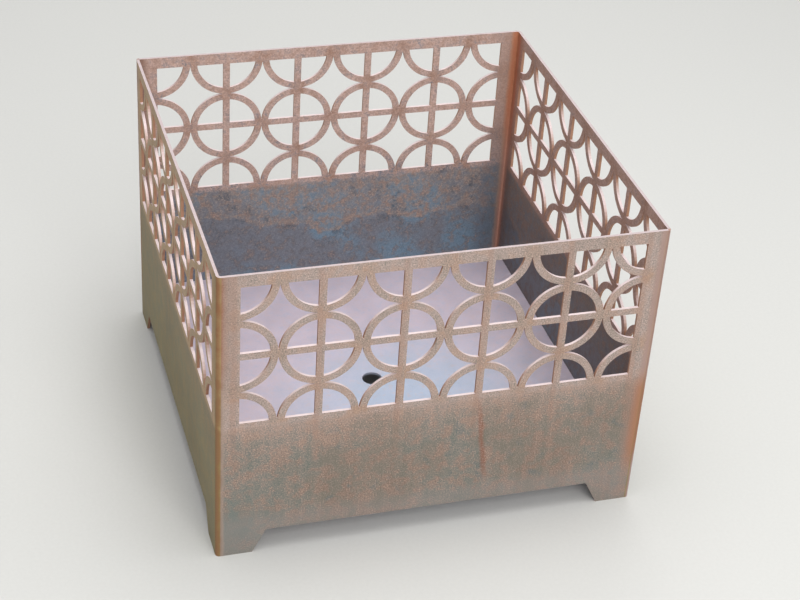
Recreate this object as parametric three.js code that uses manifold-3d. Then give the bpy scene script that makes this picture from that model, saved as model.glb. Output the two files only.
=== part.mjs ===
// Square fire pit of folded sheet steel, in millimetres, +Z up.
//
// Two alike L-shaped panels, each laser-cut and folded once, are welded together at two
// opposite corners. Every wall has a top rail, a band of rings and crossed bars, a plain
// lower band and a foot at each end. A base plate with a drain hole lies inside, a little
// above the lower edge of the walls, and is stitch-welded to them from beneath.
// The origin is on the ground, under the middle of the pit.

import * as THREE from "three";
import { mergeVertices } from "three/addons/utils/BufferGeometryUtils.js";
import Module from "manifold-3d";

const wasm = await Module();
wasm.setup();

// Overall sizes
const bodyWidth = 600; // along X, outside
const bodyDepth = 600; // along Y, outside
const bodyHeight = 450; // ground to rim

// Wall sheet and its fold
const sheet = 4;
const bendInnerRadius = 2;
const touchGap = 0.3; // left between pieces that touch

// Openwork band: rings on a square lattice, a bar through every row and column of rings
const topRail = 17.5; // rim to the top of the openwork
const minSideMargin = 30; // least plain width beside the openwork
const ringPitch = 110;
const ringRows = 2; // height of the band in pitches
const ringOverlap = 1; // how far a ring runs past the halfway line into its neighbour
const ringWidth = 11;
const barWidth = 10;

// Feet: what is left of the lower edge between the ground and the cut-away
const footHeight = 37;
const footWidth = 50; // at the ground, along each wall
const footLean = 19; // how much wider the foot is at its top
const footFillet = 4;

// Base plate
const plateThickness = 4;
const plateTop = 50; // above the ground
const plateCornerRadius = 4;
const drainDiameter = 30;
const drainCentre = new THREE.Vector2(-5, -15);

// Stitch welds under the base plate
const stitchesPerWall = 4;
const stitchLength = 50;
const stitchLeg = 5;

// Steps on curves
const arcDivisions = 3; // an arc gets twice this many straight pieces
const drainDivisions = 12;

const quarterTurn = Math.PI / 2;

// Sizes that follow from those above
const ringOuterRadius = ringPitch / 2 + ringOverlap;
const ringInnerRadius = ringOuterRadius - ringWidth;
const bandHeight = ringRows * ringPitch - barWidth;
const bandCentreHeight = bodyHeight - topRail - bandHeight / 2;
const bendOuterRadius = bendInnerRadius + sheet;

// Materials: each mesh gets a copy of its own

const wallSteel = new THREE.MeshStandardMaterial({ color: 0x8d7568, roughness: 0.8, metalness: 0.4 });
const plateSteel = new THREE.MeshStandardMaterial({ color: 0xb3b2c2, roughness: 0.45, metalness: 0.6 });
const weldSteel = new THREE.MeshStandardMaterial({ color: 0x9b7d70, roughness: 0.7, metalness: 0.5 });

function namedMesh(name, geometry, material) {
  const mesh = new THREE.Mesh(geometry, material.clone());
  mesh.name = name;
  return mesh;
}

// Booleans

function toSolid(geometry) {
  const bare = geometry.clone();
  bare.deleteAttribute("normal");
  bare.deleteAttribute("uv");
  const merged = mergeVertices(bare, 1e-4);
  return new wasm.Manifold(
    new wasm.Mesh({
      numProp: 3,
      vertProperties: new Float32Array(merged.attributes.position.array),
      triVerts: new Uint32Array(merged.index.array),
    }),
  );
}

function toGeometry(solid) {
  const mesh = solid.getMesh();
  const geometry = new THREE.BufferGeometry();
  geometry.setAttribute("position", new THREE.BufferAttribute(mesh.vertProperties, mesh.numProp));
  geometry.setIndex(new THREE.BufferAttribute(mesh.triVerts, 1));
  geometry.computeVertexNormals();
  return geometry;
}

// Openings of one wall, drawn with X along the wall from its middle and Y for height

function sectorOpening(centreX, centreY, turn) {
  const half = barWidth / 2;
  const start = Math.asin(half / ringInnerRadius);
  const corner = new THREE.Vector2(half, half).rotateAround(new THREE.Vector2(), turn);
  const shape = new THREE.Shape();
  shape.absarc(centreX, centreY, ringInnerRadius, turn + start, turn + quarterTurn - start, false);
  shape.lineTo(centreX + corner.x, centreY + corner.y);
  return shape;
}

function diamondOpening(centreX, centreY) {
  const half = ringPitch / 2;
  const cusp = Math.acos(half / ringOuterRadius); // from a ring's axis to where two rings cross
  const shape = new THREE.Shape();
  for (let quadrant = 0; quadrant < 4; quadrant++) {
    const turn = quadrant * quarterTurn;
    const ring = new THREE.Vector2(half, half).rotateAround(new THREE.Vector2(), turn);
    const first = Math.PI + quarterTurn - cusp + turn;
    const last = Math.PI + cusp + turn;
    shape.absarc(centreX + ring.x, centreY + ring.y, ringOuterRadius, first, last, true);
  }
  return shape;
}

function openworkShapes(wallLength) {
  const columns = Math.floor((wallLength - 2 * minSideMargin + barWidth) / ringPitch);
  const shapes = [];
  for (let column = 0; column <= columns; column++) {
    for (let row = 0; row <= ringRows; row++) {
      const x = (column - columns / 2) * ringPitch;
      const y = bandCentreHeight + (row - ringRows / 2) * ringPitch;
      const right = column < columns;
      const left = column > 0;
      const above = row < ringRows;
      const below = row > 0;
      if (right && above) shapes.push(sectorOpening(x, y, 0));
      if (left && above) shapes.push(sectorOpening(x, y, quarterTurn));
      if (left && below) shapes.push(sectorOpening(x, y, 2 * quarterTurn));
      if (right && below) shapes.push(sectorOpening(x, y, 3 * quarterTurn));
      if (right && above) shapes.push(diamondOpening(x + ringPitch / 2, y + ringPitch / 2));
    }
  }
  return shapes;
}

function footCutAway(wallLength) {
  const below = sheet; // how far the cut runs on under the ground
  const halfAtGround = wallLength / 2 - footWidth;
  const halfAtTop = halfAtGround - footLean;
  const halfBelow = halfAtGround + (footLean / footHeight) * below;
  const lean = Math.atan2(footLean, footHeight);
  const tangent = footFillet * Math.tan((quarterTurn - lean) / 2);
  const filletX = halfAtTop - tangent;
  const filletY = footHeight - footFillet;
  const shape = new THREE.Shape();
  shape.moveTo(-halfBelow, -below);
  shape.lineTo(halfBelow, -below);
  shape.absarc(filletX, filletY, footFillet, lean, quarterTurn, false);
  shape.absarc(-filletX, filletY, footFillet, quarterTurn, Math.PI - lean, false);
  return shape;
}

// Everything cut from one wall, standing with the wall's outer face on the XZ plane
function wallCutter(wallLength) {
  const shapes = [...openworkShapes(wallLength), footCutAway(wallLength)];
  const depth = 3 * sheet;
  const geometry = new THREE.ExtrudeGeometry(shapes, {
    depth,
    bevelEnabled: false,
    curveSegments: arcDivisions,
  });
  geometry.rotateX(quarterTurn);
  geometry.translate(0, depth - sheet, 0);
  return geometry;
}

// Panels

// Plan of the folded sheet round the front left corner, both free ends stopping short of
// the corner welds
function foldPlan() {
  const left = -bodyWidth / 2;
  const front = -bodyDepth / 2;
  const rightEnd = bodyWidth / 2 - sheet - touchGap;
  const backEnd = bodyDepth / 2 - sheet - touchGap;
  const bendX = left + bendOuterRadius;
  const bendY = front + bendOuterRadius;
  const plan = new THREE.Shape();
  plan.moveTo(left, backEnd);
  plan.lineTo(left, bendY);
  plan.absarc(bendX, bendY, bendOuterRadius, Math.PI, Math.PI + quarterTurn, false);
  plan.lineTo(rightEnd, front);
  plan.lineTo(rightEnd, front + sheet);
  plan.absarc(bendX, bendY, bendInnerRadius, Math.PI + quarterTurn, Math.PI, true);
  plan.lineTo(left + sheet, backEnd);
  return plan;
}

function foldedPanel() {
  const blank = new THREE.ExtrudeGeometry(foldPlan(), {
    depth: bodyHeight,
    bevelEnabled: false,
    curveSegments: arcDivisions,
  });
  const frontCutter = wallCutter(bodyWidth);
  frontCutter.translate(0, -bodyDepth / 2, 0);
  const leftCutter = wallCutter(bodyDepth);
  leftCutter.rotateZ(-quarterTurn);
  leftCutter.translate(-bodyWidth / 2, 0, 0);
  return toGeometry(toSolid(blank).subtract(toSolid(frontCutter)).subtract(toSolid(leftCutter)));
}

// Quarter-round seam that fills the notch between two sheet edges, round the Z axis
function cornerWeld() {
  const section = new THREE.Shape();
  section.absarc(0, 0, sheet, -quarterTurn, 0, false);
  section.lineTo(0, 0);
  return new THREE.ExtrudeGeometry(section, {
    depth: bodyHeight,
    bevelEnabled: false,
    curveSegments: arcDivisions,
  });
}

// Base plate, its top face at height 0
function basePlate() {
  const halfX = bodyWidth / 2 - sheet - touchGap;
  const halfY = bodyDepth / 2 - sheet - touchGap;
  const cornerX = halfX - plateCornerRadius;
  const cornerY = halfY - plateCornerRadius;
  const plan = new THREE.Shape();
  plan.absarc(cornerX, cornerY, plateCornerRadius, 0, quarterTurn, false);
  plan.absarc(-cornerX, cornerY, plateCornerRadius, quarterTurn, 2 * quarterTurn, false);
  plan.absarc(-cornerX, -cornerY, plateCornerRadius, 2 * quarterTurn, 3 * quarterTurn, false);
  plan.absarc(cornerX, -cornerY, plateCornerRadius, 3 * quarterTurn, 4 * quarterTurn, false);
  const drain = new THREE.Path();
  drain.absarc(drainCentre.x, drainCentre.y, drainDiameter / 2, 0, 2 * Math.PI, false);
  plan.holes.push(drain);
  const geometry = new THREE.ExtrudeGeometry(plan, {
    depth: plateThickness,
    bevelEnabled: false,
    curveSegments: drainDivisions,
  });
  geometry.translate(0, 0, -plateThickness);
  return geometry;
}

// Fillet weld along X, in the corner between the plate's underside and the front wall
function stitchWeld() {
  const section = new THREE.Shape();
  section.moveTo(0, 0);
  section.lineTo(0, -stitchLeg);
  section.lineTo(stitchLeg, 0);
  const geometry = new THREE.ExtrudeGeometry(section, { depth: stitchLength, bevelEnabled: false });
  geometry.rotateX(quarterTurn);
  geometry.rotateZ(quarterTurn);
  geometry.translate(-stitchLength / 2, 0, 0);
  return geometry;
}

// Assembly

const firePit = new THREE.Group();

const frontLeft = namedMesh("panel_front_left", foldedPanel(), wallSteel);
const backRight = namedMesh("panel_back_right", frontLeft.geometry, wallSteel);
backRight.rotation.z = Math.PI;
firePit.add(frontLeft, backRight);

const seamX = bodyWidth / 2 - sheet;
const seamY = bodyDepth / 2 - sheet;
const frontRightSeam = namedMesh("corner_weld_front_right", cornerWeld(), weldSteel);
frontRightSeam.position.set(seamX, -seamY, 0);
const backLeftSeam = namedMesh("corner_weld_back_left", frontRightSeam.geometry, weldSteel);
backLeftSeam.rotation.z = Math.PI;
backLeftSeam.position.set(-seamX, seamY, 0);
firePit.add(frontRightSeam, backLeftSeam);

const plate = namedMesh("base_plate", basePlate(), plateSteel);
plate.position.z = plateTop;
firePit.add(plate);

const walls = [
  { name: "front", turn: 0, length: bodyWidth, toWall: bodyDepth / 2 },
  { name: "right", turn: quarterTurn, length: bodyDepth, toWall: bodyWidth / 2 },
  { name: "back", turn: 2 * quarterTurn, length: bodyWidth, toWall: bodyDepth / 2 },
  { name: "left", turn: 3 * quarterTurn, length: bodyDepth, toWall: bodyWidth / 2 },
];
const stitchGeometry = stitchWeld();
for (const wall of walls) {
  const side = new THREE.Group();
  side.rotation.z = wall.turn;
  for (let stitch = 0; stitch < stitchesPerWall; stitch++) {
    const weld = namedMesh(`base_weld_${wall.name}_${stitch + 1}`, stitchGeometry, weldSteel);
    weld.position.set(
      ((stitch + 0.5) / stitchesPerWall - 0.5) * wall.length,
      -wall.toWall + sheet + touchGap,
      plateTop - plateThickness - touchGap,
    );
    side.add(weld);
  }
  firePit.add(side);
}

export default firePit;
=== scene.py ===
import math

import bmesh
import bpy
from mathutils import Matrix, Vector, noise


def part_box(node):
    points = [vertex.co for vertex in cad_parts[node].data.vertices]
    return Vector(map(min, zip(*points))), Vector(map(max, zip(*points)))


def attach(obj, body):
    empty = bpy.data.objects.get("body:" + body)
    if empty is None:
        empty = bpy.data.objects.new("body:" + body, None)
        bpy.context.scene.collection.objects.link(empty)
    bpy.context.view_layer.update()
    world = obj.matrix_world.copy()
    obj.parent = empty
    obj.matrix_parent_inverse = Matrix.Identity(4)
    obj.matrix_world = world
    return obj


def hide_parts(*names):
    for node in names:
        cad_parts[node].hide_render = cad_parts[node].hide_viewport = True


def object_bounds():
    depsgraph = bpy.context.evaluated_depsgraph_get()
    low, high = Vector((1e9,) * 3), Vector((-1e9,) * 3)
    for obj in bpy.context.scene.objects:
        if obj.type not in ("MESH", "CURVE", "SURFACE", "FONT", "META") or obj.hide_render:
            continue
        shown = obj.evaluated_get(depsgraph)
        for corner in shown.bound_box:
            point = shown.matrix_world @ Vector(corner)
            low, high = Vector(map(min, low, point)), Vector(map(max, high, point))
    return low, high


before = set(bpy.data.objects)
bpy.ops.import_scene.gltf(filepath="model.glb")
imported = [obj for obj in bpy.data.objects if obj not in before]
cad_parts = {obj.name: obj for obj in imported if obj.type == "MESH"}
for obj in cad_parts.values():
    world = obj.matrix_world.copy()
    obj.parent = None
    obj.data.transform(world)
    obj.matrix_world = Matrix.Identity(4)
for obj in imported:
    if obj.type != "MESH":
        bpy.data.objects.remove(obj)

cad_low, cad_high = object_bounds()


# ---------------------------------------------------------------- Wall panels
# Two L-shaped panels of 4 mm hot-rolled steel. Each is laser-cut flat, with its rings, bars
# and feet, and then folded once, so that it makes two walls. Thin brown rust has come
# through the blue-grey mill scale, most of all on the outside.

mm = 0.001
half_width = cad_high.x
half_depth = cad_high.y
rim_height = cad_high.z
seam_low, seam_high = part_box("corner_weld_front_right")
sheet = seam_high.x - seam_low.x
fold_radius = 6 * mm  # outside
fold_steps = 8
seam_gap = 0.1 * mm  # between a sheet's free end and the corner weld
cut_edge_radius = 0.35 * mm
cut_edge_angle = math.radians(40)  # sharper turns than this are cut edges

ring_pitch = 110 * mm
ring_columns = 5
ring_rows = 2
ring_outer_radius = 55 * mm
ring_inner_radius = 45 * mm
half_bar = 5 * mm
cusp_half_width = 0.4 * mm  # a laser can't cut a true point between two rings
ring_steps = 14  # on a quarter of a ring
top_rail = 17.5 * mm

foot_height = 37 * mm
foot_width = 50 * mm  # at the ground
foot_lean = 19 * mm
foot_fillet = 4 * mm
fillet_steps = 5

lattice_top = rim_height - top_rail + half_bar
lattice_bottom = lattice_top - ring_rows * ring_pitch
lattice_half = ring_columns * ring_pitch / 2
merge_distance = 0.005 * mm


def spin_chain(bm, start, centre, angle, steps):
    """An arc of edges in the wall's plane from a vertex, and the vertex at its far end."""
    swept = bmesh.ops.spin(bm, geom=[start], cent=centre, axis=(0, -1, 0), angle=angle, steps=steps)
    last = [item for item in swept["geom_last"] if isinstance(item, bmesh.types.BMVert)]
    return last[0]


def edges_on(bm, axis, place):
    """Boundary edges that lie on a plane across X, Y or Z."""
    return [
        edge
        for edge in bm.edges
        if edge.is_boundary and all(abs(vert.co[axis] - place) < merge_distance for vert in edge.verts)
    ]


def extrude_to(bm, axis, place, new_place):
    """Widens the sheet from one straight boundary to a new one."""
    made = bmesh.ops.extrude_edge_only(bm, edges=edges_on(bm, axis, place))
    for item in made["geom"]:
        if isinstance(item, bmesh.types.BMVert):
            item.co[axis] = new_place


def quarter_cell(bm):
    """A quarter of a ring round the origin, with half of each bar through it."""
    bar_angle = math.asin(half_bar / ring_inner_radius)
    cusp_angle = math.acos((ring_pitch / 2 - cusp_half_width) / ring_outer_radius)
    arcs = []
    for radius, start_angle in ((ring_inner_radius, bar_angle), (ring_outer_radius, cusp_angle)):
        first = bm.verts.new((radius * math.cos(start_angle), 0, radius * math.sin(start_angle)))
        known = set(bm.edges)
        last = spin_chain(bm, first, (0, 0, 0), math.pi / 2 - 2 * start_angle, ring_steps)
        arcs.append((first, last, [edge for edge in bm.edges if edge not in known]))
    (inner_first, inner_last, inner), (outer_first, outer_last, outer) = arcs
    bmesh.ops.bridge_loops(bm, edges=inner + outer)

    bar_end = inner_first.co.x
    half_cell = ring_pitch / 2
    cusp_depth = outer_first.co.z
    middle = bm.verts.new((0, 0, 0))
    crossing = bm.verts.new((half_bar, 0, half_bar))
    for first_ring, first_cusp, place in (
        (inner_first, outer_first, lambda along, across: (along, 0, across)),
        (inner_last, outer_last, lambda along, across: (across, 0, along)),
    ):
        bar_start = bm.verts.new(place(half_bar, 0))
        bar_middle = bm.verts.new(place(bar_end, 0))
        touch = bm.verts.new(place(half_cell, 0))
        cusp = bm.verts.new(place(half_cell, cusp_depth))
        bm.faces.new((bar_start, bar_middle, first_ring, crossing))
        bm.faces.new((bar_middle, touch, cusp, first_cusp, first_ring))
        bm.faces.new((middle, bar_start, crossing))


def openwork(bm):
    """All rings and bars of a wall, centred on X, from the lattice's bottom to its top."""
    quarter_cell(bm)
    half_cell = ring_pitch / 2
    for axis, move in (("X", (half_cell, 0, 0)), ("Z", (0, 0, half_cell))):
        bmesh.ops.translate(bm, verts=bm.verts[:], vec=-Vector(move))
        part = bm.verts[:] + bm.edges[:] + bm.faces[:]
        bmesh.ops.mirror(bm, geom=part, axis=axis, merge_dist=merge_distance)
    for count, step in ((ring_columns, (ring_pitch, 0, 0)), (ring_rows, (0, 0, ring_pitch))):
        cell = bm.verts[:] + bm.edges[:] + bm.faces[:]
        for copy in range(1, count):
            made = bmesh.ops.duplicate(bm, geom=cell)
            verts = [item for item in made["geom"] if isinstance(item, bmesh.types.BMVert)]
            bmesh.ops.translate(bm, verts=verts, vec=copy * Vector(step))
    to_place = (half_cell - lattice_half, 0, lattice_bottom + half_cell)
    bmesh.ops.translate(bm, verts=bm.verts[:], vec=to_place)
    bmesh.ops.remove_doubles(bm, verts=bm.verts[:], dist=merge_distance)


def foot(bm, side, wall_end, wall_half):
    """Fills the sheet below the cut-away's level at one end of a wall."""
    lean = math.atan2(foot_lean, foot_height)
    corner = wall_half - foot_width - foot_lean
    fillet_x = corner - foot_fillet * math.tan((math.pi / 2 - lean) / 2)
    below = [face for face in bm.faces if face.calc_center_median().z < lattice_bottom]
    band = list({item for face in below for item in (face, *face.edges, *face.verts)})
    bmesh.ops.bisect_plane(bm, geom=band, plane_co=(side * fillet_x, 0, 0), plane_no=(1, 0, 0))
    top = [
        edge
        for edge in edges_on(bm, 2, foot_height)
        if all(side * vert.co.x > fillet_x - merge_distance for vert in edge.verts)
    ]
    top_verts = {vert for edge in top for vert in edge.verts}
    inner = min(top_verts, key=lambda vert: side * vert.co.x)
    outer = max(top_verts, key=lambda vert: side * vert.co.x)
    known = set(bm.edges)
    centre = (side * fillet_x, 0, foot_height - foot_fillet)
    fillet_end = spin_chain(bm, inner, centre, side * (lean - math.pi / 2), fillet_steps)
    toe = bm.verts.new((side * (wall_half - foot_width), 0, 0))
    heel = bm.verts.new((side * wall_end, 0, 0))
    for pair in ((fillet_end, toe), (toe, heel), (heel, outer)):
        bm.edges.new(pair)
    bmesh.ops.contextual_create(bm, geom=top + [edge for edge in bm.edges if edge not in known])


def flat_wall(wall_half):
    """Outer surface of one wall, on the XZ plane, facing -Y. Its fold is at the -X end."""
    bm = bmesh.new()
    openwork(bm)
    fold_start = wall_half - fold_radius
    free_end = wall_half - sheet - seam_gap
    extrude_to(bm, 2, lattice_top, rim_height)
    extrude_to(bm, 2, lattice_bottom, foot_height)
    extrude_to(bm, 0, -lattice_half, -fold_start)
    extrude_to(bm, 0, lattice_half, free_end)
    foot(bm, -1, fold_start, wall_half)
    foot(bm, 1, free_end, wall_half)
    bmesh.ops.recalc_face_normals(bm, faces=bm.faces[:])
    facing = sum(face.normal.y * face.calc_area() for face in bm.faces)
    if facing > 0:
        bmesh.ops.reverse_faces(bm, faces=bm.faces[:])
    mesh = bpy.data.meshes.new("wall")
    bm.to_mesh(mesh)
    bm.free()
    return mesh


def made_piece(bm, name):
    """Turns a finished bmesh into a smooth-shaded object of the scene, at the origin."""
    mesh = bpy.data.meshes.new(name)
    bm.to_mesh(mesh)
    bm.free()
    mesh.shade_smooth()
    piece = bpy.data.objects.new(name, mesh)
    bpy.context.scene.collection.objects.link(piece)
    return piece


def soften_cut_edges(piece):
    """Takes the razor edge off what the laser has cut."""
    edges = piece.modifiers.new("softened laser cut", "BEVEL")
    edges.width = cut_edge_radius
    edges.segments = 2
    edges.limit_method = "ANGLE"
    edges.angle_limit = cut_edge_angle
    edges.harden_normals = True


def panel(name):
    """Outer surface of the folded front and left walls; modifiers give it its thickness."""
    bm = bmesh.new()
    left = flat_wall(half_depth)
    left.transform(Matrix.Translation((0, -half_width, 0)))
    left.transform(Matrix(((0, 1, 0), (1, 0, 0), (0, 0, 1))).to_4x4())
    left.flip_normals()
    bm.from_mesh(left)
    front = flat_wall(half_width)
    front.transform(Matrix.Translation((0, -half_depth, 0)))
    bm.from_mesh(front)
    fold_line = edges_on(bm, 0, fold_radius - half_width)
    centre = (fold_radius - half_width, fold_radius - half_depth, 0)
    bmesh.ops.spin(
        bm, geom=fold_line, cent=centre, axis=(0, 0, -1), angle=math.pi / 2, steps=fold_steps
    )
    bmesh.ops.remove_doubles(bm, verts=bm.verts[:], dist=merge_distance)
    bmesh.ops.recalc_face_normals(bm, faces=bm.faces[:])
    facing = sum(face.normal.dot(face.calc_center_median()) for face in bm.faces)
    if facing < 0:
        bmesh.ops.reverse_faces(bm, faces=bm.faces[:])
    piece = made_piece(bm, name)
    thickness = piece.modifiers.new("sheet thickness", "SOLIDIFY")
    thickness.thickness = sheet
    thickness.offset = -1
    thickness.use_even_offset = True
    thickness.material_offset = 1
    thickness.material_offset_rim = 2
    soften_cut_edges(piece)
    return piece


def linear(code, alpha=1):
    """An sRGB hex colour as the linear colour that a shader reads."""
    parts = [int(code[start : start + 2], 16) / 255 for start in (0, 2, 4)]
    return [*(((c + 0.055) / 1.055) ** 2.4 if c > 0.04045 else c / 12.92 for c in parts), alpha]


def add(tree, kind, inputs=(), out=0, stops=(), **settings):
    """Adds a node and returns one of its outputs. An input is a value or another output."""
    made = tree.nodes.new("ShaderNode" + kind)
    for name, value in settings.items():
        setattr(made, name, value)
    for key, value in dict(inputs).items():
        if isinstance(value, bpy.types.NodeSocket):
            tree.links.new(value, made.inputs[key])
        else:
            made.inputs[key].default_value = value
    for index, (position, colour) in enumerate(stops):
        elements = made.color_ramp.elements
        element = elements[index] if index < len(elements) else elements.new(position)
        element.position = position
        element.color = colour
    return made.outputs[out]


# A Mix node with the first settings lays colour 7 over colour 6, by share 0. A Map Range node
# with the second goes softly from 0 to 1, or from 3 to 4, while value 0 goes from 1 to 2.
over = {"out": 2, "data_type": "RGBA"}
soft = {"interpolation_type": "SMOOTHSTEP"}


def new_material(name):
    material = bpy.data.materials.new(name)
    material.use_nodes = True
    material.node_tree.nodes.clear()
    return material, material.node_tree


def finish_material(tree, colour, roughness, metallic, bump_height, bump_depth):
    """Ends a material in a shader with relief. Every metal here keeps the default IOR."""
    relief = add(tree, "Bump", {"Height": bump_height, "Distance": bump_depth})
    look = {"Base Color": colour, "Roughness": roughness, "Metallic": metallic, "Normal": relief}
    shader = add(tree, "BsdfPrincipled", look)
    surface = tree.nodes.new("ShaderNodeOutputMaterial")
    tree.links.new(shader, surface.inputs["Surface"])


def height_profile(tree, height, stops):
    """A share that changes with height, through (height, share) pairs."""
    share_up = add(tree, "Math", {0: height, 1: rim_height}, operation="DIVIDE")
    greys = [(up / rim_height, (share, share, share, 1)) for up, share in stops]
    return add(tree, "ValToRGB", {0: share_up}, stops=greys)


# Sizes of the patterns on a wall
solid_top = lattice_bottom - 8 * mm  # where the look of the openwork begins
cloud_size = 90 * mm
spot_size = 19 * mm
speck_low = 0.28  # noise below this has no speck, and above the next a whole one
speck_high = 0.72
run_width = 9 * mm
run_stretch = 0.06  # how slowly a run changes down the wall, against along it
run_weave = 6 * mm  # sideways
run_crest = 0.985  # a run shows only this near to the crest of its wave
run_foot = 110 * mm
run_colour = "9c7866"

# The one long, dark run down the front wall
long_run_start = ring_pitch / 2 - 2 * mm  # right of the wall's middle
long_run_drift = 0.13  # sideways for each length down
long_run_weave = 7 * mm
long_run_half_width = 6 * mm
long_run_core = 0.5 * mm
long_run_length = 155 * mm
long_run_tail = 40 * mm  # over which it fades out
long_run_colour = "86523c"

# The low corner at the front left that stays wet the longest
wet_place = (25 * mm - half_width, -half_depth, 50 * mm)
wet_radius = 110 * mm
wet_core = 20 * mm
wet_weave = 60 * mm
wet_colour = "66736f"

# The band that rain splashes up from the ground
splash_top = 80 * mm
splash_full = 46 * mm
splash_colour = "8c8480"

corner_foot_top = 100 * mm  # above it, the stain beside a corner has its full strength
corner_weave = 8 * mm


def wall_patterns(tree, finish):
    """Where a point lies on its wall, and the patterns that the finish is made from."""
    place = add(tree, "TexCoord", out="Object")
    x, y, height = (add(tree, "SeparateXYZ", {0: place}, out=axis) for axis in "XYZ")
    from_middle = add(tree, "Math", {0: x}, operation="ABSOLUTE")
    on_side = add(tree, "Math", {0: from_middle, 1: half_width - 1.5 * sheet}, operation="GREATER_THAN")
    along = add(tree, "Mix", {0: on_side, 2: x, 3: y}, data_type="FLOAT")
    in_openwork = add(tree, "MapRange", {0: height, 1: solid_top, 2: lattice_bottom}, **soft)

    # Specks, blooms of a few centimetres, broad clouds, and runs that rain has drawn down
    specks = {"Vector": place, "Scale": 1 / finish["grain_size"], "Detail": 2, "Roughness": 0.6}
    grain = add(tree, "TexNoise", specks)
    grain = add(tree, "MapRange", {0: grain, 1: speck_low, 2: speck_high})
    blooms = {"Vector": place, "Scale": 1 / finish["bloom_size"], "Detail": 5, "Roughness": 0.6}
    bloom = add(tree, "TexNoise", {**blooms, "Distortion": finish["curdle"]})
    clouds = {"Vector": place, "Scale": 1 / cloud_size, "Detail": 3, "Roughness": 0.5}
    cloud = add(tree, "TexNoise", clouds)
    drawn_out = add(tree, "Math", {0: height, 1: run_stretch}, operation="MULTIPLY")
    stretched = add(tree, "CombineXYZ", {0: along, 1: on_side, 2: drawn_out})
    rain = {"Vector": stretched, "Scale": 1 / run_width, "Detail": 3, "Roughness": 0.55}
    runs = add(tree, "TexNoise", rain)

    # The height that a patch of rust takes its amount from wanders up and down
    level = add(tree, "Math", {0: cloud, 1: 0.5}, operation="SUBTRACT")
    level = add(tree, "Math", {0: level, 1: finish["wander"], 2: height}, operation="MULTIPLY_ADD")
    return {
        "place": place,
        "x": x,
        "y": y,
        "height": height,
        "on_side": on_side,
        "along": along,
        "in_openwork": in_openwork,
        "grain": grain,
        "bloom": bloom,
        "cloud": cloud,
        "runs": runs,
        "level": level,
    }


def rust_amount(tree, wall, finish):
    """How far the rust has spread: about 0 on bare scale and 1 where it covers the sheet."""
    amount = height_profile(tree, wall["level"], finish["rust_by_height"])
    more = {0: wall["on_side"], 1: finish["side_rust"], 2: amount}
    amount = add(tree, "Math", more, operation="MULTIPLY_ADD")
    for pattern, weight in finish["rust_weights"]:
        centred = add(tree, "Math", {0: wall[pattern], 1: 0.5}, operation="SUBTRACT")
        amount = add(tree, "Math", {0: centred, 1: weight, 2: amount}, operation="MULTIPLY_ADD")
    return amount


def bare_scale(tree, wall, finish):
    """Mill scale: grey, with cooler clouds, brown stains and small dark or blue-green spots."""
    cool = add(tree, "MapRange", {0: wall["cloud"], 1: 0.44, 2: 0.62}, **soft)
    tones = {0: cool, 6: linear(finish["scale"]), 7: linear(finish["cool_scale"])}
    bare = add(tree, "Mix", tones, **over)
    stained = add(tree, "MapRange", {0: wall["bloom"], 1: 0.45, 2: 0.62, 4: finish["stains"]}, **soft)
    bare = add(tree, "Mix", {0: stained, 6: bare, 7: linear(finish["stain"])}, **over)
    spotting = {"Vector": wall["place"], "Scale": 1 / spot_size, "Detail": 2, "Roughness": 0.5}
    spots = add(tree, "TexNoise", spotting)
    first = finish["spots_from"]
    spots = add(tree, "MapRange", {0: spots, 1: first, 2: first + 0.12, 4: finish["spots"]}, **soft)
    spotted = height_profile(tree, wall["level"], finish["spots_by_height"])
    spots = add(tree, "Math", {0: spots, 1: spotted}, operation="MULTIPLY")
    return add(tree, "Mix", {0: spots, 6: bare, 7: linear(finish["spot"])}, **over)


def ring_crossings(tree, wall):
    """A share that is high round the places where rings touch.

    Two waves, along the wall and up it, are both at a crest or both at a trough there.
    """
    wave_along = add(tree, "Math", {0: wall["along"], 1: 2 * math.pi / ring_pitch}, operation="MULTIPLY")
    wave_along = add(tree, "Math", {0: wave_along}, operation="COSINE")
    wave_up = add(tree, "Math", {0: wall["height"], 1: lattice_bottom}, operation="SUBTRACT")
    wave_up = add(tree, "Math", {0: wave_up, 1: 2 * math.pi / ring_pitch}, operation="MULTIPLY")
    wave_up = add(tree, "Math", {0: wave_up}, operation="COSINE")
    crossing = add(tree, "Math", {0: wave_along, 1: wave_up}, operation="MULTIPLY")
    crossing = add(tree, "MapRange", {0: crossing, 1: 0.45, 2: 0.98}, **soft)
    return add(tree, "Math", {0: crossing, 1: wall["in_openwork"]}, operation="MULTIPLY")


def rust_tone(tree, wall, finish):
    """Rust: pinkish tan, more orange in blooms, where rings touch, and in runs."""
    warm = add(tree, "MapRange", {0: wall["bloom"], 1: 0.45, 2: 0.68, 4: 0.5}, **soft)
    touching = {0: ring_crossings(tree, wall), 1: finish["crossing"], 2: warm}
    warm = add(tree, "Math", touching, operation="MULTIPLY_ADD")
    in_runs = add(tree, "MapRange", {0: wall["runs"], 1: 0.58, 2: 0.78, 4: 0.5}, **soft)
    warm = add(tree, "Math", {0: warm, 1: in_runs}, operation="ADD", use_clamp=True)
    tones = {0: wall["in_openwork"], 6: linear(finish["low_rust"]), 7: linear(finish["rust"])}
    rust = add(tree, "Mix", tones, **over)
    return add(tree, "Mix", {0: warm, 6: rust, 7: linear(finish["warm_rust"])}, **over)


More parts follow.
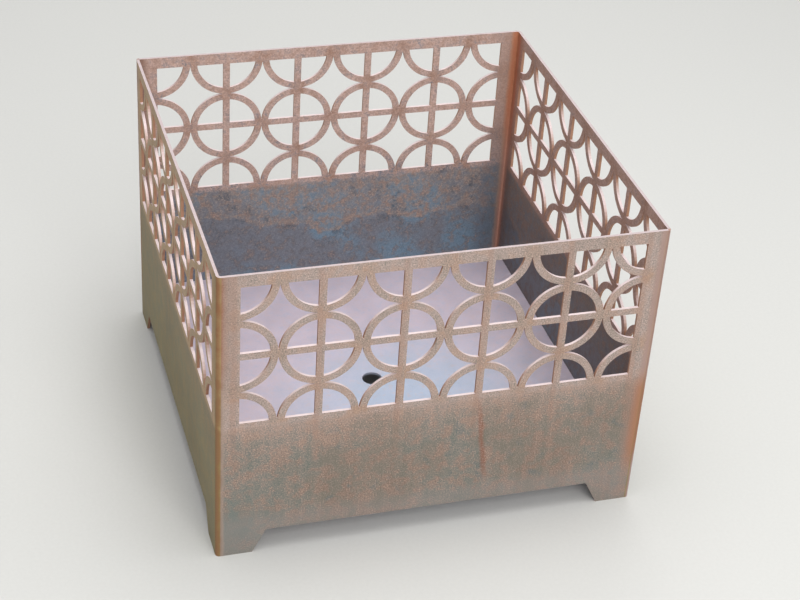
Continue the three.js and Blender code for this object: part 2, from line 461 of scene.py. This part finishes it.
def bar_runs(tree, wall):
    """Streaks down the solid part, under the upright bars that rain runs down."""
    woven = add(tree, "Math", {0: wall["runs"], 1: run_weave, 2: wall["along"]}, operation="MULTIPLY_ADD")
    wave = add(tree, "Math", {0: woven, 1: math.pi / ring_pitch}, operation="MULTIPLY")
    wave = add(tree, "Math", {0: wave}, operation="SINE")
    wave = add(tree, "Math", {0: wave}, operation="ABSOLUTE")
    narrow = add(tree, "MapRange", {0: wave, 1: run_crest, 2: 1}, **soft)
    reach = add(tree, "MapRange", {0: wall["height"], 1: run_foot, 2: lattice_bottom}, **soft)
    return add(tree, "Math", {0: narrow, 1: reach}, operation="MULTIPLY")


def long_run(tree, wall):
    """One longer, darker run down the front, from the foot of an upright bar."""
    down = add(tree, "Math", {0: lattice_bottom, 1: wall["height"]}, operation="SUBTRACT")
    centre = add(tree, "Math", {0: down, 1: long_run_drift, 2: long_run_start}, operation="MULTIPLY_ADD")
    woven = {0: wall["bloom"], 1: long_run_weave, 2: centre}
    centre = add(tree, "Math", woven, operation="MULTIPLY_ADD")
    beside = add(tree, "Math", {0: wall["x"], 1: centre}, operation="SUBTRACT")
    beside = add(tree, "Math", {0: beside}, operation="ABSOLUTE")
    narrow = add(tree, "MapRange", {0: beside, 1: long_run_half_width, 2: long_run_core}, **soft)
    begins = add(tree, "MapRange", {0: down, 1: -10 * mm, 2: 50 * mm}, **soft)
    tail = {0: down, 1: long_run_length, 2: long_run_length - long_run_tail}
    length = add(tree, "Math", {0: begins, 1: add(tree, "MapRange", tail, **soft)}, operation="MULTIPLY")
    on_front = add(tree, "Math", {0: wall["y"], 1: 1.5 * sheet - half_depth}, operation="LESS_THAN")
    length = add(tree, "Math", {0: length, 1: on_front}, operation="MULTIPLY")
    run = add(tree, "Math", {0: narrow, 1: length}, operation="MULTIPLY")
    broken = add(tree, "MapRange", {0: wall["grain"], 1: 0.9, 2: 0.2, 3: 0.35}, **soft)
    return add(tree, "Math", {0: run, 1: broken}, operation="MULTIPLY")


def rain_marks(tree, colour, wall, finish):
    """Rust runs under the bars, the long run, and the blue-green corner that stays wet."""
    for run, share, tone in (
        (bar_runs(tree, wall), finish["runs"], run_colour),
        (long_run(tree, wall), finish["long_run"], long_run_colour),
    ):
        share = add(tree, "Math", {0: run, 1: share}, operation="MULTIPLY")
        colour = add(tree, "Mix", {0: share, 6: colour, 7: linear(tone)}, **over)
    away = add(tree, "VectorMath", {0: wall["place"], 1: wet_place}, out="Value", operation="DISTANCE")
    away = add(tree, "Math", {0: wall["bloom"], 1: wet_weave, 2: away}, operation="MULTIPLY_ADD")
    wet = add(tree, "MapRange", {0: away, 1: wet_radius, 2: wet_core, 4: finish["wet"]}, **soft)
    return add(tree, "Mix", {0: wet, 6: colour, 7: linear(wet_colour)}, **over)


def splash_and_painted_side_light(tree, colour, wall, finish):
    """A dull splashed band near the ground, and painted light on the left and right walls: outside, a
    painted olive reflection of grass, lighter over the openwork; inside, painted shade.
    """
    splash = {0: wall["height"], 1: splash_top, 2: splash_full, 4: finish["low_tint"]}
    splash = add(tree, "MapRange", splash, **soft)
    colour = add(tree, "Mix", {0: splash, 6: colour, 7: linear(splash_colour)}, **over)
    # Painted light on the side walls: a painted olive grass reflection outside, painted shade inside, by
    # height
    share = height_profile(tree, wall["height"], finish["painted_side_light_by_height"])
    share = add(tree, "Math", {0: wall["on_side"], 1: share}, operation="MULTIPLY")
    tones = {0: wall["in_openwork"], 6: linear(finish["painted_side_low"]), 7: linear(finish["painted_side_high"])}
    tone = add(tree, "Mix", tones, **over)

    # The same blooms, clouds and runs mottle that painted tone
    depth = add(tree, "Math", {0: wall["bloom"], 1: wall["cloud"]}, operation="ADD")
    depth = add(tree, "Math", {0: wall["runs"], 1: 0.3, 2: depth}, operation="MULTIPLY_ADD")
    depth = add(tree, "MapRange", {0: depth, 1: 0.7, 2: 1.6, 3: 0.7, 4: 1.3})
    tone = add(tree, "VectorMath", {0: tone, "Scale": depth}, operation="SCALE")
    return add(tree, "Mix", {0: share, 6: colour, 7: tone}, **over)


def corner_stain(tree, colour, across, height, reach, change, at_ground, upper, lower):
    """Covers a colour beside an upright corner, as (distance, hex, share) stops say."""
    kept = {0: height, 1: foot_height, 2: corner_foot_top, 3: at_ground}
    kept = add(tree, "MapRange", kept, **soft)
    position = add(tree, "MapRange", {0: across, 1: -reach, 2: reach})
    stained = []
    for stops in (lower, upper):
        placed = [(0.5 + where / (2 * reach), linear(code, share)) for where, code, share in stops]
        ramp = add(tree, "ValToRGB", {0: position}, out="Color", stops=placed)
        share = add(tree, "Math", {0: ramp.node.outputs["Alpha"], 1: kept}, operation="MULTIPLY")
        stained.append(add(tree, "Mix", {0: share, 6: colour, 7: ramp}, **over))
    changed = add(tree, "MapRange", {0: height, 1: change[0], 2: change[1]}, **soft)
    return add(tree, "Mix", {0: changed, 6: stained[0], 7: stained[1]}, **over)


def corner_stains(tree, colour, wall, inset, finish):
    """Stains beside the two folds and the two welded corners, by the distance from each."""
    corner_sum = half_width + half_depth - 2 * inset
    facing = add(tree, "MapRange", {0: wall["on_side"], 3: 1, 4: -1})
    weave = add(tree, "Math", {0: wall["bloom"], 1: 0.5}, operation="SUBTRACT")
    for operation, corner in (("ADD", finish["fold"]), ("SUBTRACT", finish["weld"])):
        across = add(tree, "Math", {0: wall["x"], 1: wall["y"]}, operation=operation)
        across = add(tree, "Math", {0: across}, operation="ABSOLUTE")
        across = add(tree, "Math", {0: corner_sum, 1: across}, operation="SUBTRACT")
        across = add(tree, "Math", {0: weave, 1: corner_weave, 2: across}, operation="MULTIPLY_ADD")
        across = add(tree, "Math", {0: across, 1: facing}, operation="MULTIPLY")
        colour = corner_stain(tree, colour, across, wall["height"], **corner)
    return colour


def wall_face(name, inset, finish):
    """Rust that spreads in specks over mill scale. Inset is how far in this side of a wall lies."""
    material, tree = new_material(name)
    wall = wall_patterns(tree, finish)
    grain = wall["grain"]
    amount = rust_amount(tree, wall, finish)
    rusted = add(tree, "Math", {0: grain, 1: finish["speck"], 2: amount}, operation="MULTIPLY_ADD")
    middle = 0.5 + finish["speck"] / 2
    limits = {0: rusted, 1: middle - finish["soft"], 2: middle + finish["soft"]}
    rusted = add(tree, "MapRange", limits, **soft)
    layers = {0: rusted, 6: bare_scale(tree, wall, finish), 7: rust_tone(tree, wall, finish)}
    colour = add(tree, "Mix", layers, **over)

    # The highest specks are bright, most of all where there is much rust
    bright = add(tree, "MapRange", {0: grain, 1: 0.7, 2: 0.95, 4: finish["bright_share"]}, **soft)
    brightest = add(tree, "MapRange", {0: amount, 1: 0.1, 2: 0.6, 3: 0.2}, **soft)
    bright = add(tree, "Math", {0: bright, 1: brightest}, operation="MULTIPLY")
    colour = add(tree, "Mix", {0: bright, 6: colour, 7: linear(finish["bright"])}, **over)
    colour = rain_marks(tree, colour, wall, finish)

    # Every speck is also a little lighter or darker than the next
    contrast = {0: wall["in_openwork"], 3: finish["low_grain"], 4: finish["grain"]}
    contrast = add(tree, "MapRange", contrast)
    depth = add(tree, "Math", {0: grain, 1: 0.5}, operation="SUBTRACT")
    depth = add(tree, "Math", {0: depth, 1: contrast, 2: 1}, operation="MULTIPLY_ADD")
    colour = add(tree, "VectorMath", {0: colour, "Scale": depth}, operation="SCALE")
    colour = splash_and_painted_side_light(tree, colour, wall, finish)
    colour = corner_stains(tree, colour, wall, inset, finish)
    roughness = add(tree, "MapRange", {0: rusted, 3: finish["scale_roughness"], 4: 0.85})
    metallic = add(tree, "MapRange", {0: rusted, 3: finish["scale_metallic"], 4: 0.0})
    finish_material(tree, colour, roughness, metallic, grain, 0.1 * mm)
    return material


# Outside: the scale is olive grey, and thin rust covers the openwork and freckles the rest
outer_face = wall_face(
    "thin_brown_rust_on_mill_scale",
    0,
    {
        # Mill scale and what lies on it
        "scale": "706b60",
        "cool_scale": "656c65",
        "stain": "765f52",
        "spot": "526264",
        "spots": 0.5,
        "spots_from": 0.6,
        "spots_by_height": ((0, 1), (solid_top, 1), (lattice_bottom, 0)),
        "stains": 0.7,
        # Rust, and how bright its highest specks are
        "rust": "aa978f",
        "low_rust": "a68f84",
        "warm_rust": "a58977",
        "bright": "c4a798",
        "crossing": 0.5,
        "bright_share": 0.6,
        # Patterns: specks, blooms and how far they wander and spread
        "grain_size": 2 * mm,
        "grain": 0.34,
        "low_grain": 0.16,
        "speck": 1.0,
        "soft": 0.75,
        "bloom_size": 17 * mm,
        "curdle": 0.3,
        "wander": 0,
        "rust_weights": (("bloom", 1.2), ("cloud", 0.6), ("runs", 0.5)),
        "rust_by_height": ((0, 0.25), (60 * mm, 0.25), (150 * mm, 0.25), (195 * mm, 0.5), (215 * mm, 0.85)),
        # Rain, splashes, and the painted olive grass reflection and painted light on the left and right
        # walls
        "runs": 0.3,
        "long_run": 0.8,
        "wet": 0.75,
        "low_tint": 0.4,
        "side_rust": 0,
        "painted_side_low": "83784a",
        "painted_side_high": "c2a26c",
        "painted_side_light_by_height": ((0, 0.72), (110 * mm, 0.66), (195 * mm, 0.55), (230 * mm, 0.42), (450 * mm, 0.4)),
        "scale_roughness": 0.6,
        "scale_metallic": 0.1,
        # Beside the corners: how far across, in which colour, and how much of it
        "fold": {
            "reach": 36 * mm,
            "change": (250 * mm, 330 * mm),
            "at_ground": 1,
            "upper": (
                # The olive stops on the side wall, from -32 to -7 mm, carry on the painted olive grass
                # reflection of the side walls
                (-32 * mm, "8a7850", 0),
                (-14 * mm, "8a7648", 0.45),
                (-7 * mm, "8f7a4c", 0.75),
                (-3 * mm, "885c3a", 0.95),
                (2 * mm, "865232", 0.95),
                (6 * mm, "8e5e42", 0.85),
                (10 * mm, "8f6a58", 0.55),
                (18 * mm, "8f7468", 0.25),
                (34 * mm, "9a8478", 0),
            ),
            "lower": (
                # The olive stops on the side wall, from -13 to -7 mm, carry on the painted olive grass
                # reflection of the side walls
                (-13 * mm, "8a7a4c", 0),
                (-7 * mm, "84703f", 0.7),
                (-4 * mm, "845f3c", 0.95),
                (2 * mm, "7f5e42", 0.95),
                (5 * mm, "8a6e5a", 0.9),
                # The pale stops at 9 and 12 mm are a painted highlight along the edge of the fold's bend
                (9 * mm, "9c887c", 0.6),
                (12 * mm, "9c887c", 0),
            ),
        },
        "weld": {
            "reach": 32 * mm,
            "change": (190 * mm, 235 * mm),
            "at_ground": 0.2,
            "upper": (
                (-16 * mm, "9c8074", 0),
                (-8 * mm, "9c8074", 0.8),
                (4 * mm, "9c8074", 0.9),
                (9 * mm, "9f847b", 0.9),
                (12 * mm, "9c8076", 0.5),
                (15 * mm, "a08478", 0),
            ),
            "lower": (
                (-16 * mm, "94684a", 0),
                (-8 * mm, "94684a", 0.8),
                (4 * mm, "a07250", 0.9),
                (9 * mm, "a06e50", 0.85),
                (14 * mm, "a07058", 0.7),
                (20 * mm, "9c7664", 0.4),
                (30 * mm, "9c7664", 0),
            ),
        },
    },
)
# Inside: blue-grey scale, curdled with rust down to the tide line of standing water
inner_face = wall_face(
    "blue_grey_mill_scale_with_rust_specks",
    sheet,
    {
        # Mill scale and what lies on it
        "scale": "73777f",
        "cool_scale": "6c8495",
        "stain": "4e5056",
        "spot": "444850",
        "spots": 0.6,
        "spots_from": 0.55,
        "spots_by_height": ((110 * mm, 0.1), (140 * mm, 1), (solid_top, 1), (lattice_bottom, 0)),
        "stains": 0.4,
        # Rust, and how bright its highest specks are
        "rust": "b4998e",
        "low_rust": "8c827d",
        "warm_rust": "9a7a6a",
        "bright": "c4a89c",
        "bright_share": 0.2,
        "crossing": 0.5,
        # Patterns: specks, blooms and how far they wander and spread
        "grain_size": 2.2 * mm,
        "grain": 0.5,
        "low_grain": 0.36,
        "speck": 0.65,
        "soft": 0.65,
        "bloom_size": 13 * mm,
        "curdle": 0.6,
        "wander": 110 * mm,
        "rust_weights": (("bloom", 2.6), ("cloud", 0.3), ("runs", 0.2)),
        "rust_by_height": (
            (0, -0.1),
            (110 * mm, 0),
            (136 * mm, 0.15),
            (143 * mm, 0.85),
            (150 * mm, 0.5),
            (190 * mm, 0.6),
            (215 * mm, 0.75),
            (235 * mm, 1.1),
        ),
        # Rain, splashes, and the painted shade on the left and right walls
        "runs": 0,
        "long_run": 0,
        "wet": 0,
        "low_tint": 0,
        "side_rust": 0.1,
        "painted_side_low": "5e463a",
        "painted_side_high": "90583c",
        "painted_side_light_by_height": ((0, 0.4), (200 * mm, 0.5), (230 * mm, 0.25), (450 * mm, 0.2)),
        "scale_roughness": 0.5,
        "scale_metallic": 0.15,
        # Beside the corners: how far across, in which colour, and how much of it
        "fold": {
            "reach": 60 * mm,
            "change": (200 * mm, 340 * mm),
            "at_ground": 1,
            "upper": (
                (-36 * mm, "8a5a48", 0),
                (-16 * mm, "965a40", 0.6),
                (-10 * mm, "a85c38", 0.85),
                (-5 * mm, "9c5c3a", 0.9),
                (0 * mm, "b2704c", 0.9),
                (4 * mm, "b06c48", 0.9),
                (8 * mm, "ac785a", 0.85),
                (12 * mm, "957868", 0.5),
                (32 * mm, "957e74", 0.4),
                (48 * mm, "957e74", 0),
            ),
            "lower": (
                (-36 * mm, "4a3830", 0),
                (-14 * mm, "745244", 0.6),
                (-9 * mm, "946858", 0.8),
                (-4 * mm, "aa7662", 0.9),
                (0 * mm, "b0826e", 0.9),
                (4 * mm, "987060", 0.9),
                (7 * mm, "927868", 0.8),
                (11 * mm, "615c5e", 0.5),
                (30 * mm, "5b5c66", 0.4),
                (48 * mm, "5b5c66", 0),
            ),
        },
        "weld": {
            "reach": 30 * mm,
            "change": (150 * mm, 260 * mm),
            "at_ground": 1,
            "upper": (
                (-14 * mm, "7d675c", 0),
                (-5 * mm, "7d5a48", 0.7),
                (5 * mm, "7d5a48", 0.7),
                (14 * mm, "7d675c", 0),
            ),
            "lower": (
                (-14 * mm, "5a4a44", 0),
                (-5 * mm, "5a4236", 0.7),
                (5 * mm, "5a4236", 0.7),
                (14 * mm, "5a4a44", 0),
            ),
        },
    },
)


def cut_face(name):
    """Laser-cut edge: finely rough and lightly rusted, with a painted highlight on the faces that look up,
    less bright at the rim.
    """
    material, tree = new_material(name)
    place = add(tree, "TexCoord", out="Object")
    normal = add(tree, "NewGeometry", out="True Normal")
    facing = add(tree, "SeparateXYZ", {0: normal}, out="Z")
    height = add(tree, "SeparateXYZ", {0: place}, out="Z")
    grain = add(tree, "TexNoise", {"Vector": place, "Scale": 1 / (1.2 * mm), "Detail": 2})
    blotch = add(tree, "TexNoise", {"Vector": place, "Scale": 1 / (9 * mm), "Detail": 4})
    side = add(tree, "Mix", {0: blotch, 6: linear("8a6450"), 7: linear("b88a6c")}, **over)
    # The pale colours on the faces that look up, and the less pale ones at the rim, are a painted highlight
    upper = add(tree, "Mix", {0: blotch, 6: linear("ccb8b4"), 7: linear("e0d2d4")}, **over)
    rim_painted_highlight = add(tree, "Mix", {0: blotch, 6: linear("a69492"), 7: linear("bfb2b4")}, **over)
    at_rim = add(tree, "Math", {0: height, 1: rim_height - top_rail / 2}, operation="GREATER_THAN")
    upper = add(tree, "Mix", {0: at_rim, 6: upper, 7: rim_painted_highlight}, **over)
    painted_highlight_share = add(tree, "MapRange", {0: facing, 1: 0.2, 2: 0.9}, **soft)
    colour = add(tree, "Mix", {0: painted_highlight_share, 6: side, 7: upper}, **over)
    roughness = add(tree, "MapRange", {0: grain, 3: 0.45, 4: 0.7})
    finish_material(tree, colour, roughness, 0.1, grain, 0.05 * mm)
    return material


front_left = panel("wall_panel_front_left")
back_right = panel("wall_panel_back_right")
back_right.data.transform(Matrix.Rotation(math.pi, 4, "Z"))
cut_edge = cut_face("laser_cut_edge")
for piece, cad_node in ((front_left, "panel_front_left"), (back_right, "panel_back_right")):
    for material in (outer_face, inner_face, cut_edge):
        piece.data.materials.append(material)
    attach(piece, "root")
    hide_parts(cad_node)


# ---------------------------------------------------------------- Corner welds
# The two upright seams where the panels meet, front right and back left. Weld metal fills
# the notch between the sheet edges, and is ground flush and rounded over.

weld_steps = 8  # round the corner
weld_lift = 5 * mm  # between rings of points up the seam
weld_unevenness = 0.12 * mm
weld_bump_size = 14 * mm  # along the seam
weld_back = 0.05 * mm  # clearance behind the weld metal
weld_sharp_angle = math.radians(50)


def corner_weld(name):
    """Seam round the Z axis, from the front face to the right face, ground by hand."""
    bm = bmesh.new()
    middle = bm.verts.new((weld_back, -weld_back, 0))
    first = bm.verts.new((weld_back, -sheet, 0))
    swept = bmesh.ops.spin(
        bm, geom=[first], cent=middle.co, axis=(0, 0, 1), angle=math.pi / 2, steps=weld_steps
    )
    last = [item for item in swept["geom_last"] if isinstance(item, bmesh.types.BMVert)][0]
    bm.edges.new((last, middle))
    bm.edges.new((middle, first))
    section = bmesh.ops.contextual_create(bm, geom=bm.edges[:])["faces"]
    lifts = round(rim_height / weld_lift)
    bmesh.ops.spin(
        bm,
        geom=section,
        cent=(0, 0, 0),
        axis=(0, 0, 1),
        angle=0,
        dvec=(0, 0, rim_height / lifts),
        steps=lifts,
    )
    bmesh.ops.recalc_face_normals(bm, faces=bm.faces[:])
    for vert in bm.verts:
        out = Vector((vert.co.x, vert.co.y, 0))
        if out.length > sheet / 2 and 0 < vert.co.z < rim_height - merge_distance:
            vert.co += out.normalized() * weld_unevenness * noise.noise(vert.co / weld_bump_size)
    piece = made_piece(bm, name)
    piece.data.set_sharp_from_angle(angle=weld_sharp_angle)
    return piece


def ground_weld(name):
    """Weld metal dressed with a flap disc, smooth and mauve above, and orange with rust below."""
    material, tree = new_material(name)
    place = add(tree, "TexCoord", out="Object")
    height = add(tree, "SeparateXYZ", {0: place}, out="Z")
    grain = add(tree, "TexNoise", {"Vector": place, "Scale": 1 / (1.5 * mm), "Detail": 3})
    blotch = add(tree, "TexNoise", {"Vector": place, "Scale": 1 / (26 * mm), "Detail": 4})
    rusty = height_profile(
        tree,
        height,
        ((60 * mm, 0), (100 * mm, 0.8), (190 * mm, 0.9), (235 * mm, 0.15), (450 * mm, 0.1)),
    )
    centred = add(tree, "Math", {0: blotch, 1: 0.5}, operation="SUBTRACT")
    rusty = add(tree, "Math", {0: centred, 1: 1.2, 2: rusty}, operation="MULTIPLY_ADD", use_clamp=True)
    colour = add(tree, "Mix", {0: rusty, 6: linear("9e8178"), 7: linear("986a4c")}, **over)
    roughness = add(tree, "MapRange", {0: rusty, 3: 0.5, 4: 0.75})
    finish_material(tree, colour, roughness, 0.1, grain, 0.05 * mm)
    return material


seam = corner_weld("corner_seam_front_right")
seam.data.transform(Matrix.Translation((half_width - sheet, sheet - half_depth, 0)))
far_seam = corner_weld("corner_seam_back_left")
far_seam.data.transform(Matrix.Rotation(math.pi, 4, "Z"))
far_seam.data.transform(Matrix.Translation((sheet - half_width, half_depth - sheet, 0)))
weld_finish = ground_weld("ground_weld_metal")
for piece, cad_node in ((seam, "corner_weld_front_right"), (far_seam, "corner_weld_back_left")):
    piece.data.materials.append(weld_finish)
    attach(piece, "root")
    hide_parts(cad_node)


# ---------------------------------------------------------------- Base plate
# A flat plate of the same steel, laser-cut with a round drain hole near its middle. It lies
# a little above the lower edge of the walls and is welded to them from beneath.

plate_low, plate_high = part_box("base_plate")
plate_corner_radius = 4 * mm
plate_corner_steps = 6
drain_radius = 15 * mm
drain_centre = Vector((-5 * mm, -15 * mm, 0))
drain_segments = 64
# Middle, reach and wander of the painted silvery-blue sky reflection on the plate
sky_reflection_centre = Vector((40 * mm, -100 * mm, 0))
sky_reflection_reach = 260 * mm
sky_reflection_wander = 150 * mm


def base_plate(name):
    """A round-cornered sheet with its drain hole; modifiers give it its thickness."""
    bm = bmesh.new()
    bmesh.ops.create_grid(bm, x_segments=1, y_segments=1, size=1)
    for vert in bm.verts:
        vert.co = Vector((vert.co.x * plate_high.x, vert.co.y * plate_high.y, plate_high.z))
    bmesh.ops.bevel(
        bm,
        geom=bm.verts[:],
        offset=plate_corner_radius,
        affect="VERTICES",
        segments=plate_corner_steps,
        profile=0.5,
        material=-1,
    )
    bmesh.ops.delete(bm, geom=bm.faces[:], context="FACES_ONLY")
    outline = bm.edges[:]
    drain = bmesh.ops.create_circle(
        bm,
        segments=drain_segments,
        radius=drain_radius,
        matrix=Matrix.Translation(drain_centre + Vector((0, 0, plate_high.z))),
    )
    ring = list({edge for vert in drain["verts"] for edge in vert.link_edges})
    bmesh.ops.bridge_loops(bm, edges=outline + ring)
    bmesh.ops.recalc_face_normals(bm, faces=bm.faces[:])
    if sum(face.normal.z for face in bm.faces) < 0:
        bmesh.ops.reverse_faces(bm, faces=bm.faces[:])
    piece = made_piece(bm, name)
    thickness = piece.modifiers.new("plate thickness", "SOLIDIFY")
    thickness.thickness = plate_high.z - plate_low.z
    thickness.offset = -1
    soften_cut_edges(piece)
    return piece


def plate_steel(name):
    """Smooth mill scale, still whole, pale lavender, with a painted silvery-blue sky reflection toward the
    front middle; the pale lavender is partly painted sky reflection too.
    """
    material, tree = new_material(name)
    place = add(tree, "TexCoord", out="Object")
    grain = add(tree, "TexNoise", {"Vector": place, "Scale": 1 / (2.2 * mm), "Detail": 3})
    blotch = add(tree, "TexNoise", {"Vector": place, "Scale": 1 / (45 * mm), "Detail": 5, "Roughness": 0.6})
    from_sky_reflection_centre = add(tree, "VectorMath", {0: place, 1: sky_reflection_centre}, out="Value", operation="DISTANCE")
    centred = add(tree, "Math", {0: blotch, 1: 0.5}, operation="SUBTRACT")
    from_sky_reflection_centre = add(tree, "Math", {0: centred, 1: sky_reflection_wander, 2: from_sky_reflection_centre}, operation="MULTIPLY_ADD")
    # Painted sky reflection: silvery blue round its middle, fading out at its reach
    painted_sky_reflection = add(tree, "MapRange", {0: from_sky_reflection_centre, 1: sky_reflection_reach, 2: 0.2 * sky_reflection_reach}, **soft)
    colour = add(tree, "Mix", {0: painted_sky_reflection, 6: linear("c0b5c2"), 7: linear("b0bdd1")}, **over)
    mottle = add(tree, "TexNoise", {"Vector": place, "Scale": 1 / (9 * mm), "Detail": 4, "Roughness": 0.7})
    for end, tint in ((0.7, "c6b3b4"), (0.3, "a9b2c8")):
        tinted = add(tree, "MapRange", {0: mottle, 1: 0.5, 2: end, 4: 0.4}, **soft)
        colour = add(tree, "Mix", {0: tinted, 6: colour, 7: linear(tint)}, **over)
    tone = add(tree, "Math", {0: grain, 1: 0.3, 2: blotch}, operation="MULTIPLY_ADD")
    tone = add(tree, "MapRange", {0: tone, 1: 0.4, 2: 0.9, 3: 0.92, 4: 1.07})
    colour = add(tree, "VectorMath", {0: colour, "Scale": tone}, operation="SCALE")
    roughness = add(tree, "MapRange", {0: blotch, 1: 0.3, 2: 0.7, 3: 0.45, 4: 0.6})
    finish_material(tree, colour, roughness, 0.2, grain, 0.03 * mm)
    return material


plate = base_plate("fire_base_plate")
plate.data.materials.append(plate_steel("pale_mill_scale_and_painted_sky_reflection"))
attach(plate, "root")
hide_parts("base_plate")


# ---------------------------------------------------------------- Stitch welds
# Short fillet welds under the base plate, four to a wall. They are left as laid, with the
# ripples of a hand-held torch, and hold the plate to the walls.

beads_per_wall = 4
bead_steps = 60
ripple_pitch = 2.2 * mm
ripple_depth = 0.14  # share of the bead's leg
ripple_lean = 0.25  # along the bead, for each length across it
bead_hollow = 0.22  # how far its face sinks between the toes, as a share of the leg
end_thickness = 0.02  # square of the smallest size at a bead's end, as a share of the whole
end_roundness = 8  # the higher, the blunter the ends
section_steps = 7
bead_sharp_angle = math.radians(60)


def stitch_bead(name, cad_node, turn):
    """A rippled bead with a hollow face and round ends, in the corner under the plate."""
    low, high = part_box(cad_node)
    along_x = high.x - low.x > high.y - low.y
    length = high.x - low.x if along_x else high.y - low.y
    leg = high.z - low.z
    bm = bmesh.new()
    root = bm.verts.new((-length / 2, 0, 0))
    first = bm.verts.new((-length / 2, leg, 0))
    swept = bmesh.ops.spin(
        bm, geom=[first], cent=root.co, axis=(-1, 0, 0), angle=math.pi / 2, steps=section_steps
    )
    last = [item for item in swept["geom_last"] if isinstance(item, bmesh.types.BMVert)][0]
    bm.edges.new((last, root))
    bm.edges.new((root, first))
    section = bmesh.ops.contextual_create(bm, geom=bm.edges[:])["faces"]
    bmesh.ops.spin(
        bm,
        geom=section,
        cent=(0, 0, 0),
        axis=(1, 0, 0),
        angle=0,
        dvec=(length / bead_steps, 0, 0),
        steps=bead_steps,
    )
    bmesh.ops.recalc_face_normals(bm, faces=bm.faces[:])
    for vert in bm.verts:
        from_middle = abs(vert.co.x) / (length / 2)
        end = math.sqrt(max(end_thickness, 1 - from_middle**end_roundness))
        phase = (vert.co.x + ripple_lean * vert.co.y) / ripple_pitch
        ripple = 1 - ripple_depth * (phase - math.floor(phase))
        to_toe = abs(vert.co.y + vert.co.z) / leg  # 1 at both toes of the bead, 0 between them
        hollow = 1 - bead_hollow * (1 - to_toe)
        size = end * ripple * hollow
        vert.co.y *= size
        vert.co.z *= size
    piece = made_piece(bm, name)
    piece.data.set_sharp_from_angle(angle=bead_sharp_angle)
    piece.data.transform(Matrix.Rotation(turn, 4, "Z"))
    middle = (low + high) / 2
    to_wall = Matrix.Rotation(turn, 3, "Z") @ Vector((0, -leg / 2, 0))
    to_place = (middle.x + to_wall.x, middle.y + to_wall.y, high.z)
    piece.data.transform(Matrix.Translation(to_place))
    return piece


def stitch_metal(name):
    """Weld metal as laid: dark, half shiny grey with orange-brown rust in blotches."""
    material, tree = new_material(name)
    place = add(tree, "TexCoord", out="Object")
    grain = add(tree, "TexNoise", {"Vector": place, "Scale": 1 / (1.0 * mm), "Detail": 3})
    blotch = add(tree, "TexNoise", {"Vector": place, "Scale": 1 / (8 * mm), "Detail": 4})
    colour = add(tree, "Mix", {0: blotch, 6: linear("6c6664"), 7: linear("8d5f45")}, **over)
    roughness = add(tree, "MapRange", {0: blotch, 3: 0.35, 4: 0.7})
    finish_material(tree, colour, roughness, 0.5, grain, 0.06 * mm)
    return material


stitch_finish = stitch_metal("rusting_weld_bead")
for quarter, wall in enumerate(("front", "right", "back", "left")):
    for number in range(1, beads_per_wall + 1):
        cad_node = f"base_weld_{wall}_{number}"
        bead = stitch_bead(f"stitch_bead_{wall}_{number}", cad_node, quarter * math.pi / 2)
        bead.data.materials.append(stitch_finish)
        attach(bead, "root")
        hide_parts(cad_node)


# ---------------------------------------------------------------- Studio
# A plain pale floor under even white air, with three square softboxes: one overhead, one
# high behind the pit, and the strongest one high in front of it.

floor_half_width = 14
floor_shape = bmesh.new()
bmesh.ops.create_grid(floor_shape, size=floor_half_width)
floor = made_piece(floor_shape, "studio_floor")

# Matt paint, faintly mottled, which gives no reflection
floor_paint, floor_tree = new_material("matt_studio_floor")
floor_place = add(floor_tree, "TexCoord", out="Object")
floor_grain = add(floor_tree, "TexNoise", {"Vector": floor_place, "Scale": 1 / (5 * mm), "Detail": 2})
floor_tone = add(floor_tree, "Mix", {0: floor_grain, 6: linear("c2c2bf"), 7: linear("c8c8c5")}, **over)
finish_material(floor_tree, floor_tone, 0.9, 0.0, floor_grain, 0.02 * mm)
floor.data.materials.append(floor_paint)

world = bpy.data.worlds.new("studio_air")
bpy.context.scene.world = world
world.use_nodes = True
air = world.node_tree.nodes["Background"]
air.inputs["Color"].default_value = (1, 1, 1, 1)
air.inputs["Strength"].default_value = 0.45


def softbox(name, place, size, power):
    """A square light of a width in metres and a power in watts, facing the pit's middle."""
    data = bpy.data.lights.new(name, "AREA")
    data.shape = "SQUARE"
    data.size = size
    data.energy = power
    lamp = bpy.data.objects.new(name, data)
    lamp.location = place
    to_pit = Vector((0, 0, rim_height / 2)) - Vector(place)
    lamp.rotation_euler = to_pit.to_track_quat("-Z", "Y").to_euler()
    lamp.visible_camera = False
    bpy.context.scene.collection.objects.link(lamp)


softbox("overhead_softbox", (0.2, -0.2, 3.2), 3.0, 85)
softbox("back_softbox", (1.4, 4.4, 3.0), 3.5, 60)
softbox("front_softbox", (-0.1, -4.2, 3.0), 3.2, 148)


# ---------------------------------------------------------------- Camera
# A long lens, 1.7 m up and a little left of the front wall, tipped a few degrees to one side.
# It looks down over the front wall at the inside of the back and right walls.

view_yaw = math.radians(18.35)
view_pitch = math.radians(33.80)
view_roll = math.radians(4.046)
view_place = (-669.1 * mm, -2123.2 * mm, 1673.8 * mm)
camera = bpy.data.objects.new("camera", bpy.data.cameras.new("camera"))
bpy.context.scene.collection.objects.link(camera)
bpy.context.scene.camera = camera
camera.data.sensor_width = 36
camera.data.lens = 82.21
camera.location = view_place
turn = (
    Matrix.Rotation(-view_yaw, 3, "Z")
    @ Matrix.Rotation(math.pi / 2 - view_pitch, 3, "X")
    @ Matrix.Rotation(view_roll, 3, "Z")
)
camera.rotation_euler = turn.to_euler()
bpy.context.scene.view_settings.view_transform = "Standard"
